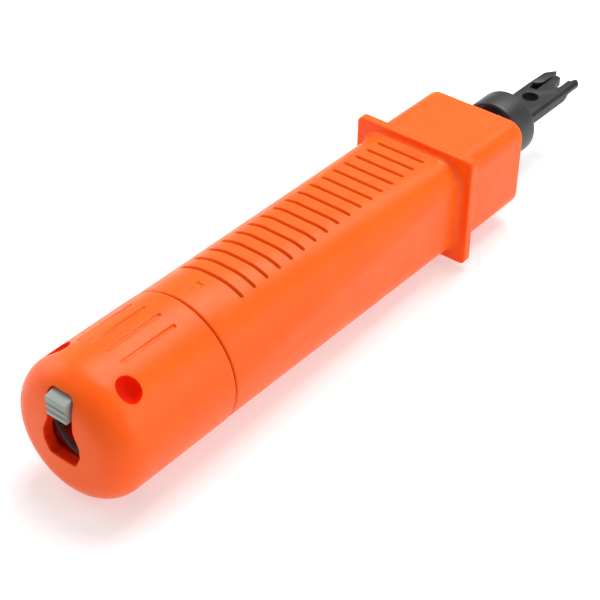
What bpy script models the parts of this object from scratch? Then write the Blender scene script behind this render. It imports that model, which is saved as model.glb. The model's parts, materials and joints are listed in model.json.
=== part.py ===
"""Impact punch down tool: an orange handle with a twist-off end cap, a force selector in the
cap's dome, a spring hammer with a side trip latch, and a quarter-turn forked blade in the nose.

Lengths are in millimetres and become metres in new_object. The working frame has its X axis on
the tool's axis, pointing at the blade, with x = 0 at the seam of cap and handle and Z out of the
grooved top. The tool_frame empty then stands the object on z = 0, centred along X.
"""

import math

import bmesh
import bpy

MM = 0.001
GAP = 0.3

# Handle
SEAM_RADIUS = 15.3
BODY_END = 79.0
BODY_HALF_WIDTH = 13.1
BODY_TOP = 11.9
BODY_BOTTOM = 12.3
BODY_CORNER = 5.4
POINTER = ((3.7, -0.3), (6.8, -1.0), (6.8, 0.8))
FLANGE_FRONT = 81.4
FLANGE_HALF_WIDTH = 16.0
FLANGE_HALF_HEIGHT = 13.85
FLANGE_CORNER = 1.4
NOSE_FRONT = 104.3
NOSE_HALF_WIDTH = 13.7
NOSE_HALF_HEIGHT = 11.4
NOSE_CORNER = 4.1
SPIGOT_RADIUS = 13.2
SPIGOT_LENGTH = 8.0
EDGE = 0.35
RAMP_POCKET = ((58.2, -12.7, -4.7), (76.0, -8.0, 4.7))
BORE_RADIUS = 10.2
NOSE_BORE_START = 81.0
NOSE_BORE_RADIUS = 9.0
NOSE_MOUTH_RADIUS = 7.6
NOSE_WALL = 1.6

# Grip grooves across the top of the handle
GROOVE_COUNT = 17
GROOVE_FIRST = 10.5
GROOVE_LAST = 75.0
GROOVE_HALF_LENGTHS = (7.4, 6.4)
GROOVE_WIDTH = 1.1
GROOVE_DEPTH = 0.8

# End cap
CAP_LENGTH = 33.0
CAP_RADIUS = 15.4
CAP_CORNER = 6.8
CAP_CROWN = 100.0
CAP_WALL = 4.0
CAP_END_WALL = 2.3
GRIP_HOLE_X = -23.3
GRIP_HOLE_RADIUS = 2.85
GRIP_HOLE_DEPTH = 3.3
GRIP_HOLE_ANGLES = (52, 127, 232, 307)
LUG_X = (-6.1, -3.1)
LUG_HEIGHT = 0.8
LUG_HALF_ANGLE = 14
CAP_TWIST = 40

# Selector in the cap's dome
SLOT_TOP = 12.2
SLOT_BOTTOM = -3.8
SLOT_HALF_WIDTH = 3.15
SLOT_FLARE = 4.65
KNOB_FACE = -33.5
KNOB_HALF_WIDTH = 2.65
KNOB_Z = (6.5, 11.8)
SELECTOR_TRAVEL = 9.0
SEAT_TRAVEL = 3.0
RAIL_Y = (3.4, 4.8)
RAIL_Z = (0.0, 9.4)
RAIL_BACK = -26.0
WEDGE_FACE_AT_AXIS = -23.0
NECK_HALF_WIDTH = 2.6
DETENT_X = (-28.0, -26.5)
DETENT_RADII = (6.9, 8.5)

# Hammer and drive train
STROKE = 7.0
HAMMER_REAR = 44.0
HAMMER_FRONT = 78.0
HAMMER_RADIUS = 9.8
LATCH_X = (70.5, 73.5)
LATCH_HALF_WIDTH = 4.0
LATCH_SHIFT = 1.6
LATCH_TIP = -11.4
LATCH_TAIL = 5.2
STOP_PIN = (74.0, 3.7)
STOP_PIN_RADIUS = 0.75
PIN_RADIUS = 2.5
PIN_HOLE_RADIUS = 2.9
PIN_HOLE_END = 58.0
PIN_REAR = 73.9
PIN_FRONT = 90.0
CHUCK_REAR = 86.0
CHUCK_REAR_RADIUS = 5.6
CHUCK_SHOULDER = (94.0, 97.0)
CHUCK_SHOULDER_RADIUS = 8.5
CHUCK_FRONT = 111.7
CHUCK_RADIUS = 7.0
CHUCK_BORE = 3.4
NOSE_BUSH_REAR = 98.7
STOP_WASHER = (97.3, 98.4, 8.5)
BAYONET_X = 101.0
BAYONET_RADIUS = 0.9
BAYONET_HALF_LENGTH = 6.5
BLADE_TURN = 90

# Blade
SHANK_REAR = 96.0
SHANK_RADIUS = 3.0
COLLAR_REAR = 112.0
COLLAR_FRONT = 119.8
COLLAR_RADIUS = 7.85
BLADE_START = 117.2
BLADE_TIP = 145.8
BLADE_HALF_WIDTH = 4.6
BLADE_HALF_THICKNESS = 1.75
BLADE_HOLE = (130.7, 0.5)
BLADE_HOLE_RADIUS = 1.75
FORK_START = 139.6
FORK_CENTRE = -1.65
FORK_WIDTH = 1.6
POCKET_FLOOR = -0.9

MIDDLE = (BLADE_TIP + KNOB_FACE) / 2

COLOURS = {
    "orange_plastic": ((0.88, 0.115, 0.012), 0.42, 0.0),
    "grey_plastic": ((0.36, 0.38, 0.36), 0.5, 0.0),
    "black_plastic": ((0.022, 0.023, 0.025), 0.4, 0.0),
    "black_steel": ((0.03, 0.031, 0.033), 0.38, 0.6),
    "bright_steel": ((0.55, 0.56, 0.57), 0.3, 1.0),
    "spring_steel": ((0.33, 0.34, 0.35), 0.35, 1.0),
    "bronze": ((0.42, 0.27, 0.11), 0.4, 1.0),
    "rubber": ((0.02, 0.02, 0.02), 0.85, 0.0),
}


def clear_scene():
    for obj in list(bpy.data.objects):
        bpy.data.objects.remove(obj, do_unlink=True)


def make_materials():
    made = {}
    for name, (colour, roughness, metallic) in COLOURS.items():
        material = bpy.data.materials.new(name)
        material.use_nodes = True
        shader = material.node_tree.nodes["Principled BSDF"]
        shader.inputs["Base Color"].default_value = (*colour, 1)
        shader.inputs["Roughness"].default_value = roughness
        shader.inputs["Metallic"].default_value = metallic
        made[name] = material
    return made


def empty(name, parent=None, location=(0, 0, 0)):
    obj = bpy.data.objects.new(name, None)
    obj.location = [value * MM for value in location]
    obj.parent = parent
    bpy.context.collection.objects.link(obj)
    return obj


def new_object(name, points, faces, material=None, parent=None, sharp=35):
    """A closed mesh object from points in millimetres, with its faces turned outward."""
    mesh = bpy.data.meshes.new(name)
    bm = bmesh.new()
    verts = [bm.verts.new([value * MM for value in point]) for point in points]
    for face in faces:
        bm.faces.new([verts[index] for index in face])
    bmesh.ops.recalc_face_normals(bm, faces=bm.faces)
    bm.to_mesh(mesh)
    bm.free()
    mesh.shade_smooth()
    mesh.set_sharp_from_angle(angle=math.radians(sharp))
    obj = bpy.data.objects.new(name, mesh)
    obj.parent = parent
    if material:
        mesh.materials.append(material)
    bpy.context.collection.objects.link(obj)
    return obj


def joined(shapes):
    """The points and faces of several shapes as one list of each."""
    points, faces = [], []
    for more_points, more_faces in shapes:
        start = len(points)
        points += more_points
        faces += [[index + start for index in face] for face in more_faces]
    return points, faces


def boolean(obj, operation, shapes):
    """Cuts the shapes from the object, or adds them to it, through a hidden helper mesh."""
    helper = new_object(obj.name + "_" + operation.lower(), *joined(shapes), parent=obj.parent)
    helper.hide_render = True
    helper.display_type = "WIRE"
    modifier = obj.modifiers.new(operation.title(), "BOOLEAN")
    modifier.operation = operation
    modifier.solver = "EXACT"
    modifier.object = helper


def loft(rings):
    """A skin over rings of equal length, closed by a flat face at each end."""
    count = len(rings[0])
    points = [point for ring in rings for point in ring]
    faces = [list(range(count)), list(range(len(points) - count, len(points)))]
    for row in range(len(rings) - 1):
        for i in range(count):
            j = (i + 1) % count
            low = row * count
            faces.append([low + i, low + j, low + count + j, low + count + i])
    return points, faces


def turned(profile, segments=48):
    """A closed (x, radius) outline turned about the X axis. Radius 0 gives a pole."""
    points, rows = [], []
    for x, radius in profile:
        if radius == 0:
            rows.append([len(points)] * segments)
            points.append((x, 0, 0))
            continue
        rows.append([len(points) + i for i in range(segments)])
        for i in range(segments):
            angle = 2 * math.pi * i / segments
            points.append((x, radius * math.cos(angle), radius * math.sin(angle)))
    faces = []
    for row, below in enumerate(rows):
        above = rows[(row + 1) % len(rows)]
        for i in range(segments):
            j = (i + 1) % segments
            corners = []
            for index in (below[i], below[j], above[j], above[i]):
                if index not in corners:
                    corners.append(index)
            if len(corners) > 2:
                faces.append(corners)
    return points, faces


def box(low, high):
    x0, y0, z0 = low
    x1, y1, z1 = high
    rings = [[(x, y0, z0), (x, y1, z0), (x, y1, z1), (x, y0, z1)] for x in (x0, x1)]
    return loft(rings)


def prism(outline, axis, low, high):
    """A flat outline pushed along an axis: (x, z) pairs along y, (y, z) along x, (x, y) along z."""
    place = {
        "x": lambda a, b, level: (level, a, b),
        "y": lambda a, b, level: (a, level, b),
        "z": lambda a, b, level: (a, b, level),
    }[axis]
    return loft([[place(a, b, level) for a, b in outline] for level in (low, high)])


def rod(centre, direction, radius, half_length, segments=20):
    """A round bar about a centre, across the tool's axis: direction is an angle from +Y."""
    turn = math.radians(direction)
    along = (0, math.cos(turn), math.sin(turn))
    side = (0, -math.sin(turn), math.cos(turn))
    rings = []
    for offset in (-half_length, half_length):
        ring = []
        for i in range(segments):
            angle = 2 * math.pi * i / segments
            across = (math.cos(angle) * radius, math.sin(angle) * radius)
            ring.append(
                tuple(
                    centre[k] + along[k] * offset + side[k] * across[1] + (across[0], 0, 0)[k]
                    for k in range(3)
                )
            )
        rings.append(ring)
    return loft(rings)


def coil(start, end, mean_radius, wire, turns, centre=(0, 0), axis="x", steps=12, sides=5):
    """A compression spring with one closed turn at each end."""
    closed_pitch = wire * 1.12
    active = (end - start - wire - 2 * closed_pitch) / (turns - 2)
    rings = []
    count = int(turns * steps)
    for i in range(count + 1):
        turn = i / steps
        along = closed_pitch * min(turn, 1)
        along += active * min(max(turn - 1, 0), turns - 2)
        along += closed_pitch * max(turn - turns + 1, 0)
        angle = 2 * math.pi * turn
        ring = []
        for k in range(sides):
            around = 2 * math.pi * (k + 0.5) / sides
            radius = mean_radius + math.cos(around) * wire / 2
            x = start + wire / 2 + along + math.sin(around) * wire / 2
            a = centre[0] + radius * math.cos(angle)
            b = centre[1] + radius * math.sin(angle)
            ring.append((x, a, b) if axis == "x" else (a, x, b))
        rings.append(ring)
    return loft(rings)


def rounded_ring(x, half_width, top, bottom, corner, steps=8):
    """A rounded rectangle across the axis. It is a circle where the corner equals every half."""
    ring = []
    for quarter in range(4):
        side = 1 if quarter in (0, 3) else -1
        height = top if quarter < 2 else -bottom
        middle_z = height - math.copysign(corner, height)
        for i in range(steps + 1):
            angle = math.radians(90 * (quarter + i / steps))
            y = side * (half_width - corner) + corner * math.cos(angle)
            ring.append((x, y, middle_z + corner * math.sin(angle)))
    return ring


def mix(a, b, share):
    return a + (b - a) * share


def body_section(x):
    """Half width, top, bottom and corner radius of the handle at a station between its ends."""
    share = x / BODY_END
    return (
        mix(SEAM_RADIUS, BODY_HALF_WIDTH, share),
        mix(SEAM_RADIUS, BODY_TOP, share),
        mix(SEAM_RADIUS, BODY_BOTTOM, share),
        mix(SEAM_RADIUS - 0.01, BODY_CORNER, share),
    )


def body_top(x, y):
    half_width, top, _, corner = body_section(x)
    past = max(abs(y) - (half_width - corner), 0)
    return top - corner + math.sqrt(corner**2 - past**2)


def groove(x, half_length):
    """One cross groove with round ends, sunk to an even depth below the curved top."""
    rings = []
    for share in (-1, -0.97, -0.92, -0.6, -0.2, 0.2, 0.6, 0.92, 0.97, 1):
        y = share * half_length
        to_end = (1 - abs(share)) * half_length
        half = GROOVE_WIDTH / 2
        reach = min(to_end / half, 1)
        width = half * max(math.sqrt(1 - (1 - reach) ** 2), 0.25)
        floor = body_top(x, y) - GROOVE_DEPTH * (0.35 + 0.65 * min(to_end, 1))
        roof = body_top(x, y) + 1
        corners = ((-width, floor), (width, floor), (width, roof), (-width, roof))
        rings.append([(x + along, y, z) for along, z in corners])
    return loft(rings)


def wedge_sector(x0, x1, inner, outer, start, end, steps=6):
    """A sector of a ring about the axis, between two angles in degrees from +Y."""
    outline = []
    for radius, order in ((inner, range(steps + 1)), (outer, range(steps, -1, -1))):
        for i in order:
            angle = math.radians(mix(start, end, i / steps))
            outline.append((radius * math.cos(angle), radius * math.sin(angle)))
    return prism(outline, "x", x0, x1)


def handle_body(material, parent):
    rings = [
        rounded_ring(-SPIGOT_LENGTH, *[SPIGOT_RADIUS] * 4),
        rounded_ring(0, *[SPIGOT_RADIUS] * 4),
        rounded_ring(0, *[SEAM_RADIUS - EDGE] * 4),
        rounded_ring(EDGE, *[SEAM_RADIUS] * 4),
    ]
    stations = 9
    for i in range(1, stations):
        x = BODY_END * i / stations
        rings.append(rounded_ring(x, *body_section(x)))
    rings.append(rounded_ring(BODY_END - 0.7, *body_section(BODY_END - 0.7)))
    rings.append(rounded_ring(BODY_END, *[value + 0.5 for value in body_section(BODY_END)]))
    for x, inset in (
        (BODY_END, 0.6),
        (BODY_END + 0.6, 0),
        (FLANGE_FRONT - 0.6, 0),
        (FLANGE_FRONT, 0.6),
    ):
        height = FLANGE_HALF_HEIGHT - inset
        corner = FLANGE_CORNER - inset / 2
        rings.append(rounded_ring(x, FLANGE_HALF_WIDTH - inset, height, height, corner))
    for x, inset in (
        (FLANGE_FRONT, -0.2),
        (NOSE_FRONT - 0.7, 0),
        (NOSE_FRONT - 0.2, 0.2),
        (NOSE_FRONT, 0.7),
    ):
        height = NOSE_HALF_HEIGHT - inset
        rings.append(rounded_ring(x, NOSE_HALF_WIDTH - inset, height, height, NOSE_CORNER - inset / 2))
    body = new_object("handle_body", *loft(rings), material, parent)
    bore = turned(
        [
            (-SPIGOT_LENGTH - 1, 0),
            (NOSE_FRONT + 1, 0),
            (NOSE_FRONT + 1, NOSE_MOUTH_RADIUS),
            (NOSE_FRONT - NOSE_WALL, NOSE_MOUTH_RADIUS),
            (NOSE_FRONT - NOSE_WALL, NOSE_BORE_RADIUS),
            (NOSE_BORE_START, NOSE_BORE_RADIUS),
            (NOSE_BORE_START, BORE_RADIUS),
            (-SPIGOT_LENGTH - 1, BORE_RADIUS),
        ],
        40,
    )
    grooves = []
    for i in range(GROOVE_COUNT):
        share = i / (GROOVE_COUNT - 1)
        grooves.append(groove(mix(GROOVE_FIRST, GROOVE_LAST, share), mix(*GROOVE_HALF_LENGTHS, share)))
    lugs = []
    for centre in (0, 180):
        lugs.append(
            wedge_sector(
                *LUG_X,
                SPIGOT_RADIUS - 1,
                SPIGOT_RADIUS + LUG_HEIGHT,
                centre - LUG_HALF_ANGLE,
                centre + LUG_HALF_ANGLE,
            )
        )
    pointer = prism(POINTER, "z", SEAM_RADIUS - 0.8, SEAM_RADIUS + 1)
    boolean(body, "UNION", lugs)
    boolean(body, "DIFFERENCE", [bore])
    boolean(body, "DIFFERENCE", [box(*RAMP_POCKET), pointer] + grooves)
    return body


def dome(end, radius, corner, crown, steps=9):
    """The (x, radius) outline of the cap's end: a shallow crown, then a round corner."""
    corner_height = radius - corner
    reach = crown - corner
    crown_x = end + crown
    corner_x = crown_x - math.sqrt(reach**2 - corner_height**2)
    lean = math.asin(corner_height / reach)
    arc = [(end, 0)]
    for share in (0.4, 0.75):
        across = crown * math.sin(lean * share)
        arc.append((crown_x - math.sqrt(crown**2 - across**2), across))
    for i in range(steps + 1):
        angle = mix(math.pi / 2 - lean, 0, i / steps)
        arc.append((corner_x - corner * math.sin(angle), corner_height + corner * math.cos(angle)))
    return arc


def end_cap(material, parent):
    outer = dome(-CAP_LENGTH, CAP_RADIUS, CAP_CORNER, CAP_CROWN)
    inside = CAP_RADIUS - CAP_WALL
    inner = dome(-CAP_LENGTH + CAP_END_WALL, inside, CAP_CORNER - CAP_WALL, CAP_CROWN, 4)
    bore = SPIGOT_RADIUS + GAP
    track = SPIGOT_RADIUS + LUG_HEIGHT + GAP
    profile = outer + [(-GAP - EDGE, CAP_RADIUS), (-GAP, CAP_RADIUS - EDGE), (-GAP, bore)]
    profile += [
        (LUG_X[1] + GAP, bore),
        (LUG_X[1] + GAP, track),
        (LUG_X[0] - GAP, track),
        (LUG_X[0] - GAP, bore),
        (-SPIGOT_LENGTH - 0.5, bore),
        (-SPIGOT_LENGTH - 0.5, inside),
    ]
    profile += inner[::-1]
    cap = new_object("end_cap", *turned(profile, 44), material, parent)
    half = [
        (SLOT_HALF_WIDTH - 0.3, SLOT_TOP),
        (SLOT_HALF_WIDTH, SLOT_TOP - 0.3),
        (SLOT_HALF_WIDTH, 4.7),
        (SLOT_FLARE, 1.2),
        (SLOT_FLARE, SLOT_BOTTOM + 2.8),
        (SLOT_FLARE - 1.3, SLOT_BOTTOM),
    ]
    slot = half + [(-y, z) for y, z in reversed(half)]
    cuts = [prism(slot, "x", -CAP_LENGTH - 1, KNOB_FACE + 4.8)]
    for angle in GRIP_HOLE_ANGLES:
        turn = math.radians(angle)
        middle = CAP_RADIUS - GRIP_HOLE_DEPTH + 3
        centre = (GRIP_HOLE_X, middle * math.cos(turn), middle * math.sin(turn))
        cuts.append(rod(centre, angle, GRIP_HOLE_RADIUS, 3, 24))
    entries = []
    for centre in (CAP_TWIST, 180 + CAP_TWIST):
        entries.append(
            wedge_sector(
                LUG_X[1] - 0.5,
                1,
                bore - 0.5,
                track,
                centre - LUG_HALF_ANGLE - 3,
                centre + LUG_HALF_ANGLE + 3,
            )
        )
    boolean(cap, "DIFFERENCE", cuts + entries)
    return cap


def selector(material, parent):
    """The grey button with its ridges, its neck, and the two wedge rails behind it."""
    low, high = KNOB_Z
    face = [(KNOB_FACE + 4.2, low), (KNOB_FACE, low)]
    ridge = 1.2
    for i in range(3):
        z = low + 0.4 + ridge * i
        face += [(KNOB_FACE, z + 0.6), (KNOB_FACE + 0.3, z + 0.7), (KNOB_FACE + 0.3, z + 1.0)]
        face.append((KNOB_FACE, z + 1.1))
    face += [(KNOB_FACE, high - 1.0), (KNOB_FACE + 1.7, high), (KNOB_FACE + 4.2, high)]
    knob = new_object(
        "selector_slider", *prism(face, "y", -KNOB_HALF_WIDTH, KNOB_HALF_WIDTH), material, parent, 20
    )
    slope = SEAT_TRAVEL / SELECTOR_TRAVEL
    shapes = [
        box((KNOB_FACE + 3, -NECK_HALF_WIDTH, low + 0.2), (RAIL_BACK + 2, NECK_HALF_WIDTH, high - 1.5)),
        box((RAIL_BACK, -RAIL_Y[1], 6.6), (RAIL_BACK + 2, RAIL_Y[1], 9.0)),
    ]
    for side in (-1, 1):
        ends = sorted((side * RAIL_Y[0], side * RAIL_Y[1]))
        rail = [
            (RAIL_BACK + 0.2, RAIL_Z[0]),
            (WEDGE_FACE_AT_AXIS + slope * RAIL_Z[0], RAIL_Z[0]),
            (WEDGE_FACE_AT_AXIS + slope * RAIL_Z[1], RAIL_Z[1]),
            (RAIL_BACK + 0.2, RAIL_Z[1]),
        ]
        shapes.append(prism(rail, "y", ends[0], ends[1] - 0.02 * side))
    for shape in shapes:
        boolean(knob, "UNION", [shape])
    return knob


def detent_spring(material, parent):
    """A C of steel strip inside the cap's end, its arms reaching in beside the selector's neck."""
    inner, outer = DETENT_RADII
    middle = (inner + outer) / 2
    half = (outer - inner) / 2
    path = [(NECK_HALF_WIDTH + half + GAP, 4.6), (4.6, 4.4), (6.6, 2.6)]
    steps = 18
    for i in range(steps + 1):
        angle = math.radians(mix(0, -90, i / steps))
        path.append((middle * math.cos(angle), middle * math.sin(angle)))
    path += [(-y, z) for y, z in reversed(path[:-1])]
    sides = ([], [])
    for i, (y, z) in enumerate(path):
        before = path[max(i - 1, 0)]
        after = path[min(i + 1, len(path) - 1)]
        along = (after[0] - before[0], after[1] - before[1])
        length = math.hypot(*along)
        across = (-along[1] / length * half, along[0] / length * half)
        sides[0].append((y + across[0], z + across[1]))
        sides[1].append((y - across[0], z - across[1]))
    return new_object(
        "detent_spring", *prism(sides[0] + sides[1][::-1], "x", *DETENT_X), material, parent, 40
    )


def spring_seat(material, parent):
    front = -16.0
    plate = front - 2.5
    seat = new_object(
        "spring_seat",
        *turned([(plate, 0), (plate, 9.6), (front, 9.6), (front, 4.2), (-2, 4.2), (-1, 3.2), (-1, 0)], 32),
        material,
        parent,
    )
    slope = SEAT_TRAVEL / SELECTOR_TRAVEL
    base = WEDGE_FACE_AT_AXIS + GAP
    bottom, top = RAIL_Z[0] - SELECTOR_TRAVEL + 1.2, 7.4
    for side in (-1, 1):
        ends = sorted((side * RAIL_Y[0], side * RAIL_Y[1]))
        ramp = [
            (base + slope * bottom, bottom),
            (plate + 0.5, bottom),
            (plate + 0.5, top),
            (base + slope * top, top),
        ]
        boolean(seat, "UNION", [prism(ramp, "y", *ends)])
    return seat


def hammer(material, parent):
    body = new_object(
        "hammer",
        *turned(
            [
                (HAMMER_REAR - 5, 0),
                (HAMMER_REAR - 5, 5.4),
                (HAMMER_REAR - 4.4, 6.0),
                (HAMMER_REAR, 6.0),
                (HAMMER_REAR, HAMMER_RADIUS - 0.5),
                (HAMMER_REAR + 0.5, HAMMER_RADIUS),
                (HAMMER_FRONT - 0.5, HAMMER_RADIUS),
                (HAMMER_FRONT, HAMMER_RADIUS - 0.5),
                (HAMMER_FRONT, 0),
            ],
            40,
        ),
        material,
        parent,
    )
    slot = box(
        (LATCH_X[0] - GAP, -HAMMER_RADIUS - 1, -LATCH_HALF_WIDTH - GAP),
        (LATCH_X[1] + GAP, 9.0, LATCH_HALF_WIDTH + GAP),
    )
    front = HAMMER_FRONT + 1
    hole = turned(
        [(PIN_HOLE_END, 0), (PIN_HOLE_END, PIN_HOLE_RADIUS), (front, PIN_HOLE_RADIUS), (front, 0)], 24
    )
    dowel = rod_along_z(*STOP_PIN, STOP_PIN_RADIUS + GAP, 11)
    boolean(body, "DIFFERENCE", [slot])
    boolean(body, "DIFFERENCE", [hole])
    boolean(body, "DIFFERENCE", [dowel])
    return body


def rod_along_z(x, y, radius, half_length, segments=16, middle=0):
    rings = []
    for z in (middle - half_length, middle + half_length):
        ring = []
        for i in range(segments):
            angle = 2 * math.pi * i / segments
            ring.append((x + radius * math.cos(angle), y + radius * math.sin(angle), z))
        rings.append(ring)
    return loft(rings)


def trip_latch(material, parent):
    latch = new_object(
        "trip_latch",
        *box(
            (LATCH_X[0], LATCH_TIP, -LATCH_HALF_WIDTH),
            (LATCH_X[1], LATCH_TAIL, LATCH_HALF_WIDTH),
        ),
        material,
        parent,
    )
    low, high = LATCH_X[0] - 1, LATCH_X[1] + 1
    hole = turned([(low, 0), (low, PIN_HOLE_RADIUS), (high, PIN_HOLE_RADIUS), (high, 0)], 24)
    moved = [(x, y - LATCH_SHIFT, z) for x, y, z in hole[0]]
    boolean(latch, "DIFFERENCE", [(moved, hole[1])])
    play = STOP_PIN_RADIUS + GAP
    track = box(
        (STOP_PIN[0] - play, STOP_PIN[1] - LATCH_SHIFT - play, -LATCH_HALF_WIDTH - 1),
        (LATCH_X[1] + 1, STOP_PIN[1] + play, LATCH_HALF_WIDTH + 1),
    )
    boolean(latch, "DIFFERENCE", [track])
    return latch


def trip_ramp(material, parent):
    """A wedge in the handle's wall that pushes the latch across as the hammer moves back."""
    near = LATCH_TIP - GAP
    outline = [
        (58.5, -12.4),
        (70.2, -12.4),
        (70.2, near),
        (70.2 - STROKE, near + LATCH_SHIFT),
        (58.5, near + LATCH_SHIFT),
    ]
    return new_object("trip_ramp", *prism(outline, "z", -4.4, 4.4), material, parent)


def blade_chuck(material, parent):
    """The socket that holds the blade: a shouldered tube with two bayonet tracks."""
    chuck = new_object(
        "blade_chuck",
        *turned(
            [
                (CHUCK_REAR, PIN_RADIUS + GAP),
                (CHUCK_REAR, CHUCK_REAR_RADIUS),
                (CHUCK_SHOULDER[0], CHUCK_REAR_RADIUS),
                (CHUCK_SHOULDER[0], CHUCK_SHOULDER_RADIUS),
                (CHUCK_SHOULDER[1], CHUCK_SHOULDER_RADIUS),
                (CHUCK_SHOULDER[1], CHUCK_RADIUS),
                (CHUCK_FRONT - 0.4, CHUCK_RADIUS),
                (CHUCK_FRONT, CHUCK_RADIUS - 0.4),
                (CHUCK_FRONT, CHUCK_BORE),
                (PIN_FRONT + GAP, CHUCK_BORE),
                (PIN_FRONT + GAP, PIN_RADIUS + GAP),
            ],
            40,
        ),
        material,
        parent,
    )
    reach = math.degrees(math.asin((BAYONET_RADIUS + GAP) / CHUCK_BORE)) + 1
    half = BAYONET_RADIUS + GAP
    cuts = []
    for start in (0, 180):
        track = (BAYONET_X - half, BAYONET_X + half, CHUCK_BORE - 1, CHUCK_RADIUS + 1)
        cuts.append(wedge_sector(*track, start - reach, start + BLADE_TURN + reach))
    entries = []
    for start in (BLADE_TURN, 180 + BLADE_TURN):
        entry = (BAYONET_X, CHUCK_FRONT + 1, CHUCK_BORE - 1, CHUCK_RADIUS + 1)
        entries.append(wedge_sector(*entry, start - reach + 1, start + reach - 1))
    boolean(chuck, "DIFFERENCE", cuts)
    boolean(chuck, "DIFFERENCE", entries)
    return chuck


def blade_ring(x, extra=0, narrower=0, steps=7):
    """The blade's section: a flat bar with crisp top edges and a softer underside."""
    half_width = BLADE_HALF_WIDTH + extra - narrower
    ring = []
    for quarter in range(4):
        side = 1 if quarter in (0, 3) else -1
        height = BLADE_HALF_THICKNESS + extra
        edge = 0.35 if quarter < 2 else 1.3
        middle = (height - edge) * (1 if quarter < 2 else -1)
        for i in range(steps + 1):
            angle = math.radians(90 * (quarter + i / steps))
            y = side * (half_width - edge) + edge * math.cos(angle)
            ring.append((x, y, middle + edge * math.sin(angle)))
    return ring


def round_ring(x, radius, steps=7):
    return rounded_ring(x, *[radius] * 4, steps)


def blade_body(material, parent):
    rings = [
        round_ring(SHANK_REAR, SHANK_RADIUS - 0.5),
        round_ring(SHANK_REAR + 0.5, SHANK_RADIUS),
        round_ring(BLADE_START, SHANK_RADIUS),
        blade_ring(BLADE_START),
        blade_ring(BLADE_TIP),
    ]
    blade = new_object("blade_body", *loft(rings), material, parent)
    half = FORK_WIDTH / 2
    fork = [
        (FORK_START, FORK_CENTRE - half + 0.4),
        (FORK_START + 0.5, FORK_CENTRE - half),
        (BLADE_TIP + 1, FORK_CENTRE - half),
        (BLADE_TIP + 1, FORK_CENTRE + half + 0.4),
        (FORK_START + 0.5, FORK_CENTRE + half),
        (FORK_START, FORK_CENTRE + half - 0.4),
    ]
    ends = [
        (143.0, 6.0),
        (143.0, 1.6),
        (144.2, 0.9),
        (143.6, -0.5),
        (143.7, -2.3),
        (143.5, -3.1),
        (144.5, -3.5),
        (144.3, -4.2),
        (143.2, -5.0),
        (143.2, -6.0),
        (BLADE_TIP + 1, -6.0),
        (BLADE_TIP + 1, 6.0),
    ]
    pocket = [
        (134.0, 3.0),
        (134.5, 1.2),
        (BLADE_TIP + 1, 1.2),
        (BLADE_TIP + 1, 6.0),
        (137.0, 6.0),
        (137.0, 3.4),
        (134.6, 3.4),
    ]
    boolean(blade, "DIFFERENCE", [prism(fork, "z", -6, 6)])
    boolean(blade, "DIFFERENCE", [prism(ends, "z", -7, 7)])
    boolean(blade, "DIFFERENCE", [prism(pocket, "z", POCKET_FLOOR, 4)])
    boolean(blade, "DIFFERENCE", [rod_along_z(*BLADE_HOLE, BLADE_HOLE_RADIUS, 6, 24)])
    boolean(blade, "DIFFERENCE", [rod((BAYONET_X, 0, 0), 0, BAYONET_RADIUS + GAP, 8, 16)])
    return blade


def blade_cutter(material, parent):
    """The cut-off knife, let into the pocket along one prong, with its point past the fork."""
    outline = [
        (138.6, 1.9),
        (144.6, 1.7),
        (BLADE_TIP, 2.1),
        (144.2, 3.4),
        (143.1, 4.0),
        (137.4, 4.1),
        (137.3, 3.4),
        (137.7, 2.4),
    ]
    return new_object(
        "blade_cutter",
        *prism(outline, "z", POCKET_FLOOR + GAP, BLADE_HALF_THICKNESS + 0.2),
        material,
        parent,
    )


def blade_collar(material, parent):
    collar = new_object(
        "blade_collar",
        *turned(
            [
                (COLLAR_REAR, COLLAR_RADIUS - 0.5),
                (COLLAR_REAR + 0.5, COLLAR_RADIUS),
                (COLLAR_FRONT - 0.5, COLLAR_RADIUS),
                (COLLAR_FRONT, COLLAR_RADIUS - 0.5),
                (COLLAR_FRONT, SHANK_RADIUS + GAP),
                (COLLAR_REAR, SHANK_RADIUS + GAP),
            ],
            40,
        ),
        material,
        parent,
    )
    pocket = loft([blade_ring(BLADE_START - GAP, GAP), blade_ring(COLLAR_FRONT + 1, GAP)])
    boolean(collar, "DIFFERENCE", [pocket])
    return collar


def ring_piece(name, start, end, inner, outer, material, parent, edge=0.25):
    profile = [
        (start, inner),
        (start, outer - edge),
        (start + edge, outer),
        (end - edge, outer),
        (end, outer - edge),
        (end, inner),
    ]
    return new_object(name, *turned(profile, 32), material, parent)


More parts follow.
